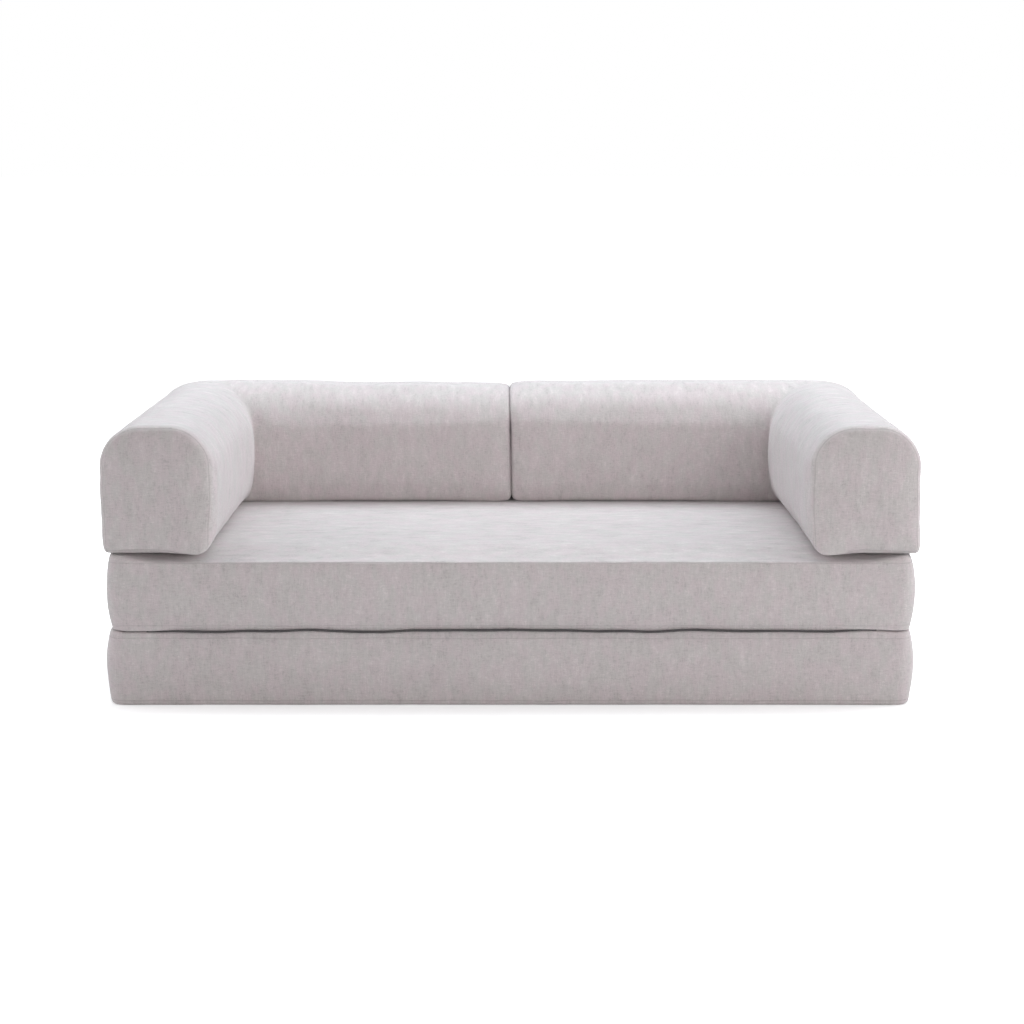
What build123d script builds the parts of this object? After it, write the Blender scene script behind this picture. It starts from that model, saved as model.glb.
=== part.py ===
from build123d import *
import os
from math import asin, cos, radians, sin

os.makedirs("parts", exist_ok=True)

# Modular sofa bed: two stacked mattresses joined along their front edge and two L-shaped bolsters on top.
# The origin is the centre of the footprint on the floor. The front faces -Y and the seat opens forwards.

# Mattresses
mattress_width = 2000
mattress_depth = 1000
mattress_thickness = 190
mattress_bulge = 13  # how far the edge seams lie behind the crest of a side
mattress_edge_radius = 25
mattress_corner_radius = 50

# Bolsters
bolster_width = 280
bolster_height = 322
bolster_side_bulge = 8
bolster_crown = 6
bolster_shoulder_radius = 104
bolster_foot_radius = 22
bolster_end_radius = 10
bolster_end_bevel = 7  # where the two back halves meet, and on the cut foam's ends
arm_overhang = 6  # how far an arm stands out past the mattress side
arm_setback = 15  # how far an arm's front face lies behind the mattress crest
back_inset = 6  # how far the back lies inside the mattress crest

# Layers
cover_thickness = 3
foam_gap = 0.3
foam_slack = 1.5  # how far the cut foam stays inside the soft outline
comfort_foam_thickness = 60
corner_cut_share = 0.75  # a straight cut across a corner, against the radius that it takes the place of
shoulder_facet_shares = (0, 1 / 2, 1)  # where the cut foam's facets meet along a round shoulder
foam_corner_ease = 4  # how much further in the cut runs across a mattress foam's upright corners
underside_thickness = 1.5
underside_margin = 60
underside_corner_radius = 40

# Gaps between pieces that move apart
centre_gap = 0.6
hinge_gap = 0.3
sewing_gap = 0.3
running_gap = 0.1

# Fabric hinge
hinge_margin = 100
hinge_leaf_thickness = 1.2

# Hook and loop strips
strip_length = 260
strip_width = 60
strip_depth = 1.2
strip_end_margin = 90
strip_corner_margin = 130

# Zips
mattress_zip_margin = 150
mattress_zip_height = 36
bolster_zip_end_margin = 100
bolster_zip_corner_margin = 106
tape_width = 22
tape_thickness = 1
tape_depth = 1.8  # how far the tape's face lies below the cover's face
teeth_width = 5
teeth_height = 1
teeth_chamfer = 0.4
teeth_margin = 6
slider_length = 14
slider_width = 10
slider_roof = 1.2
slider_corner_cut = 1.6
slider_margin = 18
lug_thickness = 1
lug_length = 3
lug_cover = 0.8  # how far the lugs reach past the pin
pin_radius = 0.7
pin_height = 1.8
pull_length = 28
pull_width = 6.6
pull_thickness = 1

cut_overrun = 5

# Derived places
seat_level = mattress_thickness
bolster_level = 2 * mattress_thickness
core_x = mattress_width / 2 - mattress_corner_radius
core_y = mattress_depth / 2 - mattress_corner_radius
front_y = -mattress_depth / 2
hinge_y = front_y - hinge_gap / 2
arm_x = -(mattress_width / 2 + arm_overhang - bolster_width / 2)
back_y = mattress_depth / 2 - back_inset - bolster_width / 2
arm_front_y = front_y + arm_setback
bolster_crest = (bolster_height - bolster_crown) / 2
foam_inset = cover_thickness + foam_gap
hinge_length = mattress_width - 2 * hinge_margin
mattress_zip_length = mattress_width - 2 * mattress_zip_margin
bolster_zip_length = -arm_x - bolster_zip_corner_margin - bolster_zip_end_margin
bolster_zip_centre = bolster_zip_end_margin + bolster_zip_length / 2
quarter_turn = 90
eighth_turn = quarter_turn / 2
LOW = (Align.CENTER, Align.CENTER, Align.MIN)
HIGH = (Align.CENTER, Align.CENTER, Align.MAX)


def keep(piece, name):
    """Names a finished piece and writes it to its own file."""
    piece.part.label = name
    export_step(piece.part, f"parts/{name}.step")


# Mattress forms


def rim_section(plane):
    """The section of a mattress's rim outwards from its core, with a bulged side and soft edges."""
    seam = mattress_corner_radius - mattress_bulge
    middle = mattress_thickness / 2
    with BuildSketch(plane) as section:
        with BuildLine():
            Line((0, 0), (seam, 0))
            ThreePointArc((seam, 0), (mattress_corner_radius, middle), (seam, mattress_thickness))
            Line((seam, mattress_thickness), (0, mattress_thickness))
            Line((0, mattress_thickness), (0, 0))
        make_face()
        edges = section.vertices().group_by(Axis.X)[-1]
        fillet(edges, mattress_edge_radius)
    return section.sketch


def soft_mattress(level):
    """The outside of a mattress: bulged sides, soft edges and round corners."""
    with BuildPart() as form:
        with Locations((0, 0, level)):
            Box(2 * core_x, 2 * core_y, mattress_thickness, align=LOW)
        for outward, reach, run in (
            (Vector(0, -1), core_y, core_x),
            (Vector(1, 0), core_x, core_y),
            (Vector(0, 1), core_y, core_x),
            (Vector(-1, 0), core_x, core_y),
        ):
            along = outward.rotate(Axis.Z, quarter_turn)
            corner = outward * reach - along * run + Vector(0, 0, level)
            section = rim_section(Plane(origin=corner, x_dir=outward, z_dir=-along))
            extrude(section, amount=-2 * run)
            revolve(section, axis=Axis(corner, (0, 0, -1)), revolution_arc=quarter_turn)
    return form.part


def cut_mattress(level, inset):
    """A mattress's inside, drawn in by inset and cut in straight facets as foam is, its upright corners too."""
    top = mattress_thickness - inset
    crest = mattress_corner_radius - inset - foam_slack
    seam = mattress_corner_radius - inset - mattress_bulge
    corner_cut = (mattress_edge_radius - inset) * corner_cut_share
    shoulder = seam + mattress_bulge / 2 - corner_cut / 2
    side = [
        (seam - corner_cut, inset),
        (shoulder, inset + corner_cut),
        (crest, mattress_thickness / 2),
        (shoulder, top - corner_cut),
        (seam - corner_cut, top),
    ]
    corner_reach = (core_x + core_y) * sin(radians(eighth_turn)) - foam_corner_ease
    directions = (
        (0, core_x, Mode.ADD),
        (quarter_turn, core_y, Mode.INTERSECT),
        (eighth_turn, corner_reach, Mode.INTERSECT),
        (-eighth_turn, corner_reach, Mode.INTERSECT),
    )
    with BuildPart() as form:
        for turn, reach, mode in directions:
            outward = Vector(1, 0).rotate(Axis.Z, turn)
            along = outward.rotate(Axis.Z, quarter_turn)
            right = [(reach + x, height) for x, height in side]
            left = [(-x, height) for x, height in reversed(right)]
            with BuildSketch(Plane(origin=(0, 0, level), x_dir=outward, z_dir=-along)):
                with BuildLine():
                    Polyline(*right, *left, right[0])
                make_face()
            extrude(amount=mattress_width, both=True, mode=mode)
    return form.part


def mattress_foam(level, bottom, top):
    """The layer of a mattress's foam between two heights above the mattress's underside."""
    with BuildPart() as layer:
        add(cut_mattress(level, foam_inset))
        with Locations((0, 0, level + bottom)):
            Box(mattress_width, mattress_depth, top - bottom, align=LOW, mode=Mode.INTERSECT)
    return layer


def mattress_zip_plane(level):
    """The tangent plane of a mattress's back face at the height of its zip."""
    half = mattress_thickness / 2
    bulge_radius = (half**2 + mattress_bulge**2) / (2 * mattress_bulge)
    lean = asin((half - mattress_zip_height) / bulge_radius)
    face_y = mattress_depth / 2 - bulge_radius * (1 - cos(lean))
    return Plane(
        origin=(0, face_y, level + mattress_zip_height),
        x_dir=(-1, 0, 0),
        z_dir=(0, cos(lean), -sin(lean)),
    )


# Bolster forms


def soft_outline():
    """The outside of a bolster's section: flat foot, bulged sides, round shoulders and a slight crown."""
    half = bolster_width / 2
    seam = half - bolster_side_bulge
    eave = bolster_height - bolster_crown
    with BuildSketch() as outline:
        with BuildLine():
            Line((-seam, 0), (seam, 0))
            ThreePointArc((seam, 0), (half, bolster_crest), (seam, eave))
            ThreePointArc((seam, eave), (0, bolster_height), (-seam, eave))
            ThreePointArc((-seam, eave), (-half, bolster_crest), (-seam, 0))
        make_face()
        shoulders = outline.vertices().group_by(Axis.Y)[-1]
        fillet(shoulders, bolster_shoulder_radius)
        feet = outline.vertices().group_by(Axis.Y)[0]
        fillet(feet, bolster_foot_radius)
    return outline.sketch


def cut_outline(inset):
    """The inside of a bolster's section, drawn in by inset and cut in straight facets as foam is."""
    half = bolster_width / 2 - inset
    seam = half - bolster_side_bulge
    corner_cut = (bolster_foot_radius - inset) * corner_cut_share
    radius = bolster_shoulder_radius - inset
    centre_x = half - radius - foam_slack
    centre_y = bolster_height - inset - radius - foam_slack
    angles = [quarter_turn * share for share in shoulder_facet_shares]
    side = [(seam - corner_cut, inset), (seam, inset + corner_cut), (half, bolster_crest)]
    for angle in angles:
        side.append((centre_x + radius * cos(radians(angle)), centre_y + radius * sin(radians(angle))))
    other_side = [(-x, y) for x, y in reversed(side)]
    with BuildSketch() as outline:
        with BuildLine():
            Polyline(*side, *other_side, side[0])
        make_face()
    return outline.sketch


def bolster_section(plane, inset, outer_half=False):
    """The D-shaped section of a bolster on a plane, or the half of it on the outside of the corner."""
    with BuildSketch(plane) as section:
        add(cut_outline(inset) if inset else soft_outline())
        if outer_half:
            Rectangle(bolster_width, bolster_height, align=(Align.MAX, Align.MIN), mode=Mode.INTERSECT)
    return section.sketch


def bolster_form(inset):
    """The left bolster: an arm and half a back of one section, with a round outer corner and a sharp inner one."""
    arm_length = back_y - arm_front_y - inset
    back_length = -arm_x - centre_gap / 2 - inset
    arm_plane = Plane(origin=(arm_x, back_y, bolster_level), x_dir=(1, 0, 0), z_dir=(0, -1, 0))
    back_plane = Plane(origin=(arm_x, back_y, bolster_level), x_dir=(0, 1, 0), z_dir=(1, 0, 0))
    turn = Axis((arm_x, back_y, 0), (0, 0, -1))
    with BuildPart() as form:
        extrude(bolster_section(arm_plane, inset), amount=arm_length)
        extrude(bolster_section(back_plane, inset), amount=back_length)
        revolve(bolster_section(arm_plane, inset, outer_half=True), axis=turn, revolution_arc=quarter_turn)
        front_end = form.faces().sort_by(Axis.Y)[0]
        centre_end = form.faces().sort_by(Axis.X)[-1]
        if inset:
            chamfer(front_end.edges(), bolster_end_bevel)
        else:
            fillet(front_end.edges(), bolster_end_radius)
        chamfer(centre_end.edges(), bolster_end_bevel)
    return form.part


def bolster_zip_plane():
    """The tangent plane of the left bolster's back face at the crest of its bulge."""
    return Plane(
        origin=(
            -bolster_zip_centre,
            back_y + bolster_width / 2,
            bolster_level + bolster_crest,
        ),
        x_dir=(-1, 0, 0),
        z_dir=(0, 1, 0),
    )


# Hook and loop strips: two under an arm and two under a back half


def strip_locations(height):
    """The places of one bolster's four strips, each with its length along the bolster."""
    from_end = strip_end_margin + strip_length / 2
    from_corner = strip_corner_margin + strip_length / 2
    return [
        Location((arm_x, arm_front_y + from_end, height), (0, 0, quarter_turn)),
        Location((arm_x, back_y - from_corner, height), (0, 0, quarter_turn)),
        Location((arm_x + from_corner, back_y, height)),
        Location((-from_end, back_y, height)),
    ]


def left_strips(height, align, gap):
    """One bolster's four strips, or with a gap the pockets that hold them."""
    with BuildPart() as strips:
        with Locations(*strip_locations(height)):
            Box(strip_length + 2 * gap, strip_width + 2 * gap, strip_depth, align=align)
    return strips


# Zips


def zip_window(plane, length):
    """The cutter for the opening in a cover that the zip's tape closes."""
    with BuildPart(plane) as window:
        Box(length + 2 * sewing_gap, tape_width + 2 * sewing_gap, 2 * (cover_thickness + foam_gap))
    return window.part


def zip_tape(plane, length):
    with BuildPart(plane.offset(-tape_depth)) as tape:
        Box(length, tape_width, tape_thickness, align=HIGH)
    return tape


def zip_teeth(plane, length):
    with BuildPart(plane.offset(-tape_depth)) as teeth:
        Box(length - 2 * teeth_margin, teeth_width, teeth_height, align=LOW)
        top = teeth.faces().sort_by(Axis(plane.origin, plane.z_dir))[-1]
        chamfer(top.edges(), teeth_chamfer)
    return teeth


def slider_plane(plane, length):
    """The plane of the slider's underside, with the slider at the closed end of its zip."""
    start = Plane(
        origin=plane.origin - plane.x_dir * (length / 2 - slider_margin),
        x_dir=plane.x_dir,
        z_dir=plane.z_dir,
    )
    return start.offset(running_gap - tape_depth)


roof_height = teeth_height + running_gap
pin_level = roof_height + slider_roof + pin_height
eye_radius = pin_radius + running_gap + pull_thickness / 2


def zip_slider(plane, length):
    """A slider that straddles the teeth, with two lugs and the pin that its pull turns on."""
    place = slider_plane(plane, length)
    lug_y = pull_width / 2 + running_gap + lug_thickness / 2
    with BuildPart(place) as slider:
        Box(slider_length, slider_width, roof_height + slider_roof, align=LOW)
        upright = slider.edges().filter_by(Axis(place.origin, place.z_dir))
        chamfer(upright, slider_corner_cut)
        Box(
            slider_length + 2 * cut_overrun,
            teeth_width + 2 * running_gap,
            roof_height,
            align=LOW,
            mode=Mode.SUBTRACT,
        )
        with Locations((0, lug_y, roof_height + slider_roof), (0, -lug_y, roof_height + slider_roof)):
            Box(lug_length, lug_thickness, pin_height + pin_radius + lug_cover, align=LOW)
        with Locations(Location((0, 0, pin_level), (quarter_turn, 0, 0))):
            Cylinder(pin_radius, 2 * lug_y)
    return slider


def zip_pull(plane, length):
    """A flat pull that lies along the zip and turns on the slider's pin."""
    place = slider_plane(plane, length).offset(pin_level)
    with BuildPart(place) as pull:
        with Locations((pull_length / 2, 0, 0)):
            Box(pull_length, pull_width, pull_thickness)
        upright = pull.edges().filter_by(Axis(place.origin, place.z_dir))
        far_corners = upright.sort_by(Axis(place.origin, place.x_dir))[-2:]
        chamfer(far_corners, pull_width / 3)
        with Locations(Location((0, 0, 0), (quarter_turn, 0, 0))):
            Cylinder(eye_radius, pull_width)
            Cylinder(pin_radius + running_gap, pull_width + 2 * cut_overrun, mode=Mode.SUBTRACT)
    return pull


def keep_zip(prefix, plane, length, mirrored=False):
    """Writes the four pieces of one zip."""
    pieces = {"tape": zip_tape, "teeth": zip_teeth, "slider": zip_slider, "pull": zip_pull}
    for name, make in pieces.items():
        with BuildPart() as piece:
            add(make(plane, length))
            if mirrored:
                mirror(about=Plane.YZ, mode=Mode.REPLACE)
        keep(piece, f"{prefix}_zip_{name}")


# Base mattress

base_zip_plane = mattress_zip_plane(0)
underside_width = mattress_width - 2 * underside_margin
underside_depth = mattress_depth - 2 * underside_margin

with BuildPart() as base_cover:
    add(soft_mattress(0))
    add(cut_mattress(0, cover_thickness), mode=Mode.SUBTRACT)
    add(zip_window(base_zip_plane, mattress_zip_length), mode=Mode.SUBTRACT)
    with BuildSketch(Plane.XY):
        RectangleRounded(
            underside_width + 2 * sewing_gap,
            underside_depth + 2 * sewing_gap,
            underside_corner_radius + sewing_gap,
        )
    extrude(amount=underside_thickness, mode=Mode.SUBTRACT)
keep(base_cover, "base_cover")

with BuildPart() as base_underside:
    with BuildSketch(Plane.XY):
        RectangleRounded(underside_width, underside_depth, underside_corner_radius)
    extrude(amount=underside_thickness)
keep(base_underside, "base_underside")

foam_split = mattress_thickness - foam_inset - comfort_foam_thickness
keep(mattress_foam(0, foam_inset, foam_split), "base_support_foam")
keep(mattress_foam(0, foam_split, mattress_thickness), "base_comfort_foam")
keep_zip("base", base_zip_plane, mattress_zip_length)


# Seat mattress

seat_zip_plane = mattress_zip_plane(seat_level)

with BuildPart() as seat_cover:
    add(soft_mattress(seat_level))
    add(cut_mattress(seat_level, cover_thickness), mode=Mode.SUBTRACT)
    add(zip_window(seat_zip_plane, mattress_zip_length), mode=Mode.SUBTRACT)
    left_pockets = left_strips(bolster_level, HIGH, sewing_gap).part
    add(left_pockets, mode=Mode.SUBTRACT)
    add(mirror(left_pockets, about=Plane.YZ, mode=Mode.PRIVATE), mode=Mode.SUBTRACT)
keep(seat_cover, "seat_cover")

with BuildPart() as seat_loop_strips:
    add(left_strips(bolster_level, HIGH, 0))
    mirror(about=Plane.YZ)
keep(seat_loop_strips, "seat_loop_strips")

keep(mattress_foam(seat_level, foam_inset, foam_split), "seat_support_foam")
keep(mattress_foam(seat_level, foam_split, mattress_thickness), "seat_comfort_foam")
keep_zip("seat", seat_zip_plane, mattress_zip_length)


# Fabric hinge: one leaf sewn to each mattress, meeting on the hinge line in front of the groove

leaf_depth = mattress_bulge + mattress_edge_radius

with BuildPart() as base_hinge_leaf:
    with Locations((0, front_y, seat_level - hinge_gap / 2)):
        Box(
            hinge_length,
            leaf_depth,
            hinge_leaf_thickness,
            align=(Align.CENTER, Align.MIN, Align.MAX),
        )
    add(soft_mattress(0), mode=Mode.SUBTRACT)
keep(base_hinge_leaf, "base_hinge_leaf")

with BuildPart() as seat_hinge_leaf:
    add(base_hinge_leaf.part)
    mirror(about=Plane.XY.offset(seat_level), mode=Mode.REPLACE)
keep(seat_hinge_leaf, "seat_hinge_leaf")


# Bolsters

mitre = Plane(origin=(arm_x, back_y, 0), z_dir=(1, 1, 0))
foam_form = bolster_form(foam_inset)
left_zip_plane = bolster_zip_plane()

with BuildPart() as left_bolster_cover:
    add(bolster_form(0))
    add(bolster_form(cover_thickness), mode=Mode.SUBTRACT)
    add(zip_window(left_zip_plane, bolster_zip_length), mode=Mode.SUBTRACT)
    add(left_strips(bolster_level, LOW, sewing_gap), mode=Mode.SUBTRACT)


def bolster_foam(side):
    """The part of a bolster's foam on one side of the glued mitre at its corner."""
    with BuildPart() as foam:
        add(foam_form)
        with Locations(mitre):
            Box(mattress_width, mattress_width, mattress_width, align=side, mode=Mode.INTERSECT)
    return foam


left_pieces = {
    "bolster_cover": left_bolster_cover,
    "arm_foam": bolster_foam(HIGH),
    "back_foam": bolster_foam(LOW),
    "hook_strips": left_strips(bolster_level, LOW, 0),
}
for name, piece in left_pieces.items():
    keep(piece, f"left_{name}")
    with BuildPart() as right_piece:
        add(piece.part)
        mirror(about=Plane.YZ, mode=Mode.REPLACE)
    keep(right_piece, f"right_{name}")

keep_zip("left_bolster", left_zip_plane, bolster_zip_length)
keep_zip("right_bolster", left_zip_plane, bolster_zip_length, mirrored=True)
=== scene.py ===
# %% [markdown]
# # A modular sofa bed in chenille
# Two mattresses lie on each other and are joined along their front edge. Two L-shaped bolsters make the arms and
# the back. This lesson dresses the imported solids: soft covers take the place of the plain covers and of the foam in
# them, and the zips and the fastening strips keep their shapes and get better finishes. The frame is read first, so
# that all that follows is made in the same metres.

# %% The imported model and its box
import math

import bmesh
import bpy
import numpy as np
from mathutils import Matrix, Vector, noise


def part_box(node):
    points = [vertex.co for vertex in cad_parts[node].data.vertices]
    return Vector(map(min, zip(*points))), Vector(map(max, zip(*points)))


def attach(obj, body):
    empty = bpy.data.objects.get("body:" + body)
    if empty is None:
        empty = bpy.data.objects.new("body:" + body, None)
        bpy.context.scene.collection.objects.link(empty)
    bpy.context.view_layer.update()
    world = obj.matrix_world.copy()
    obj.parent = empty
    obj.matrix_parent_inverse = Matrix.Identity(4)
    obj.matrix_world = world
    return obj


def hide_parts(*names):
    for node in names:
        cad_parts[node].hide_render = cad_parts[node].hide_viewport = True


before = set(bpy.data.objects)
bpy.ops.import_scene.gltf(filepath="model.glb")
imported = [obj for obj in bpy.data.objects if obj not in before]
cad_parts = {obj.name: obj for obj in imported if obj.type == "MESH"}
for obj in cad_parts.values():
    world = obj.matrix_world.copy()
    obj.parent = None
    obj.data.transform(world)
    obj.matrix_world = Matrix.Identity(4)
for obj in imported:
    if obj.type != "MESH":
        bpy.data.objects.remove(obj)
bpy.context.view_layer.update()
scene = bpy.context.scene
scene.view_settings.view_transform = "Standard"

# %% [markdown]
# ## Camera
# The sofa is seen straight from the front and a little from above. The horizon lies far up in the picture, and the
# arms' fronts are only a little larger than the back, so the camera stands nearly five metres in front of the sofa,
# with a lens that is longer than a normal one.

# %% Camera
LOOKS_DOWN = 10.83

camera_data = bpy.data.cameras.new("camera")
camera_data.sensor_width = 36
camera_data.lens = 69.5
camera_data.shift_x = 0.0005
camera = bpy.data.objects.new("camera", camera_data)
camera.location = (0, -5.222, 1.394)
camera.rotation_euler = (math.radians(90 - LOOKS_DOWN), 0, 0)
scene.collection.objects.link(camera)
scene.camera = camera
print("camera with a lens of", camera_data.lens, "mm looks down by", LOOKS_DOWN, "degrees")

# %% [markdown]
# ## The mattress form
# A mattress is a slab with bulged sides, soft edges and round corners. A box with bevels would do for a hard block.
# A cover over foam needs small even faces to swell and sag, so here a flat grid is the top, its outline is extruded
# down the side row by row, and a second grid closes the underside.

# %% Mattress sizes
HALF_WIDTH = 1.0
HALF_DEPTH = 0.5
THICKNESS = 0.190
CORNER_RADIUS = 0.05
SIDE_BULGE = 0.013
FRONT_BULGE = 0.006
EDGE_POINTS = 5
SIDE_POINTS = 10
CELL = 0.020
CORNER_CELLS = 3
CORE = (HALF_WIDTH - CORNER_RADIUS, HALF_DEPTH - CORNER_RADIUS)


def new_edges(made):
    return [part for part in made["geom"] if isinstance(part, bmesh.types.BMEdge)]


def new_verts(made):
    return [part for part in made["geom"] if isinstance(part, bmesh.types.BMVert)]


def ease(value, low, high):
    """0 below low, 1 above high, and a smooth rise between them."""
    share = min(1, max(0, (value - low) / (high - low)))
    return share * share * (3 - 2 * share)


def from_core(point):
    """The nearest point of the mattress's core, and the direction outwards from it."""
    core = Vector((
        max(-CORE[0], min(CORE[0], point.x)),
        max(-CORE[1], min(CORE[1], point.y)),
        0,
    ))
    return core, Vector((point.x, point.y, 0)) - core


def side_profile(towards, top_radii, bottom_radius):
    """A mattress's side from its top outline down to its underside, for one direction outwards.

    Each point is the reach past the core, and the height. The front is flatter than the other sides, and its top
    edge may be rounder."""
    front = ease(-towards.y, 0.3, 0.95)
    bulge = SIDE_BULGE + (FRONT_BULGE - SIDE_BULGE) * front
    top_radius = top_radii[0] + (top_radii[1] - top_radii[0]) * front
    seam = CORNER_RADIUS - bulge
    slope = math.atan(4 * bulge / THICKNESS * 0.9)  # a little less than at the seam, where the edge has turned already

    def reach_at(height):
        return seam + bulge * (1 - (2 * height / THICKNESS - 1) ** 2)

    points = []
    top_start = THICKNESS - top_radius * (1 - math.sin(slope))
    bottom_start = bottom_radius * (1 - math.sin(slope))
    top_centre = reach_at(top_start) - top_radius * math.cos(slope)
    bottom_centre = reach_at(bottom_start) - bottom_radius * math.cos(slope)
    for turn in np.linspace(math.pi / 2, slope, EDGE_POINTS):
        points.append((
            top_centre + top_radius * math.cos(turn),
            THICKNESS - top_radius * (1 - math.sin(turn)),
        ))
    for height in np.linspace(top_start, bottom_start, SIDE_POINTS)[1:-1]:
        points.append((reach_at(height), height))
    for turn in np.linspace(slope, math.pi / 2, EDGE_POINTS):
        points.append((
            bottom_centre + bottom_radius * math.cos(turn),
            bottom_radius * (1 - math.sin(turn)),
        ))
    return points


def add_slab_face(bm, profile_of, row):
    """A grid over the core and a reach past it, with its corners rounded."""
    columns = 2 * round(CORE[0] / CELL) + 2 * CORNER_CELLS
    rows = 2 * round(CORE[1] / CELL) + 2 * CORNER_CELLS
    grid = bmesh.ops.create_grid(bm, x_segments=columns, y_segments=rows, size=1)["verts"]
    for vert in grid:
        for axis, cells in ((0, columns), (1, rows)):
            value = vert.co[axis]
            from_edge = (1 - abs(value)) * cells / 2
            if from_edge <= CORNER_CELLS:
                placed = CORE[axis] + CORNER_RADIUS * (1 - from_edge / CORNER_CELLS)
            else:
                placed = CORE[axis] * (1 - (from_edge - CORNER_CELLS) / (cells / 2 - CORNER_CELLS))
            vert.co[axis] = math.copysign(placed, value)
        core, out = from_core(vert.co)
        if out.length > 0:
            towards = out.normalized()
            share = max(abs(out.x), abs(out.y)) / CORNER_RADIUS
            vert.co = core + towards * share * profile_of(towards)[row][0]
        vert.co.z = profile_of(Vector((0, 1, 0)))[row][1]


def slab(level, top_radii, bottom_radius):
    """A closed mattress form whose underside lies at a level."""
    bm = bmesh.new()
    known = {}

    def profile_of(towards):
        key = round(towards.y, 4)
        if key not in known:
            known[key] = side_profile(towards, top_radii, bottom_radius)
        return known[key]

    rows = len(profile_of(Vector((0, 1, 0))))
    add_slab_face(bm, profile_of, 0)
    rim = [edge for edge in bm.edges if edge.is_boundary]
    for row in range(1, rows):
        made = bmesh.ops.extrude_edge_only(bm, edges=rim)
        rim = new_edges(made)
        for vert in new_verts(made):
            core, out = from_core(vert.co)
            towards = out.normalized()
            reach, height = profile_of(towards)[row]
            vert.co = core + towards * reach
            vert.co.z = height
    add_slab_face(bm, profile_of, rows - 1)
    bmesh.ops.remove_doubles(bm, verts=bm.verts, dist=0.0002)
    bmesh.ops.translate(bm, verts=bm.verts, vec=(0, 0, level))
    bmesh.ops.recalc_face_normals(bm, faces=bm.faces)
    return bm


# %% [markdown]
# ## The bolster form
# A bolster is one long pad bent round a corner: an arm and half of the back. Its section is a D that stands on its
# flat foot. On the outside the cover goes round the corner in a smooth curve, and on the inside it meets in a sharp
# upright crease. So the arm is a loop drawn along its length, with its inner half cut short at the mitre, the outer
# half is spun round the corner, and the back is the arm's mirror image over the mitre.

# %% Bolster sizes
ARM_X = -0.866
BACK_Y = 0.354
ARM_FRONT_Y = -0.485
CENTRE_X = -0.0003
SEAT_LEVEL = 2 * THICKNESS
BOLSTER_HALF = 0.140
BOLSTER_HEIGHT = 0.322
BOLSTER_BULGE = 0.008
CREST_HEIGHT = 0.158
SHOULDER_HEIGHT = 0.2176
SHOULDER_RADIUS = 0.104
OUTER_FOOT_RADIUS = 0.012
INNER_FOOT_RADIUS = 0.036
FRONT_END_RADIUS = 0.021
FRONT_END_CROWN = 0.005
CENTRE_END_RADIUS = 0.011
AROUND = 76
ALONG = 56
CORNER_STEPS = 14


def d_half(foot_radius):
    """Even points up one half of the D, from the middle of its foot to the middle of its top."""
    foot = BOLSTER_HALF - BOLSTER_BULGE
    half = [(0, 0)]
    for turn in np.radians(np.linspace(0, 90, 9)):
        half.append((foot - foot_radius * (1 - math.sin(turn)), foot_radius * (1 - math.cos(turn))))
    for height in np.linspace(foot_radius, SHOULDER_HEIGHT, 25)[1:]:
        from_crest = (height - CREST_HEIGHT) / (CREST_HEIGHT - foot_radius)
        half.append((BOLSTER_HALF - BOLSTER_BULGE * from_crest**2, height))
    shoulder = half[-1][0] - SHOULDER_RADIUS
    for turn in np.radians(np.linspace(0, 90, 25))[1:]:
        half.append((shoulder + SHOULDER_RADIUS * math.cos(turn), SHOULDER_HEIGHT + SHOULDER_RADIUS * math.sin(turn)))
    half.append((0, BOLSTER_HEIGHT))
    points = np.array(half)
    lengths = np.concatenate(([0], np.cumsum(np.hypot(*np.diff(points, axis=0).T))))
    even = np.linspace(0, lengths[-1], AROUND // 2 + 1)
    return [(float(np.interp(at, lengths, points[:, 0])), float(np.interp(at, lengths, points[:, 1]))) for at in even]


def d_section():
    """Points round the D, from the middle of its foot outwards, over the top and back on the inner side."""
    return d_half(OUTER_FOOT_RADIUS) + [(-across, up) for across, up in d_half(INNER_FOOT_RADIUS)[-2:0:-1]]


def close_end(bm, rim, centre, outward, radius, crown):
    """Rounds the end of a tube off and closes it with smaller and smaller loops, with a slight crown."""
    home = bm.verts.layers.float_vector.get("home") or bm.verts.layers.float_vector.new("home")
    inwards = bm.verts.layers.float_vector.get("inwards") or bm.verts.layers.float_vector.new("inwards")
    bm.normal_update()
    for vert in {vert for edge in rim for vert in edge.verts}:
        side = vert.normal - outward * vert.normal.dot(outward)
        vert[home] = vert.co
        vert[inwards] = -side.normalized()
    for turn in np.radians((22.5, 45, 67.5, 90)):
        made = bmesh.ops.extrude_edge_only(bm, edges=rim)
        rim = new_edges(made)
        for vert in new_verts(made):
            vert.co = vert[home] + vert[inwards] * radius * (1 - math.cos(turn))
            vert.co += outward * radius * math.sin(turn)
    for vert in new_verts(made):
        vert[home] = vert.co
    for share in (0.85, 0.7, 0.55, 0.4, 0.25, 0.1):
        made = bmesh.ops.extrude_edge_only(bm, edges=rim)
        rim = new_edges(made)
        for vert in new_verts(made):
            flat = vert[home] - centre
            vert.co = vert[home] - (flat - outward * flat.dot(outward)) * (1 - share)
            vert.co += outward * crown * (1 - share**2)
    last = new_verts(made)
    middle = sum((vert.co for vert in last), Vector()) / len(last)
    bmesh.ops.pointmerge(bm, verts=last, merge_co=middle)


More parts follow.
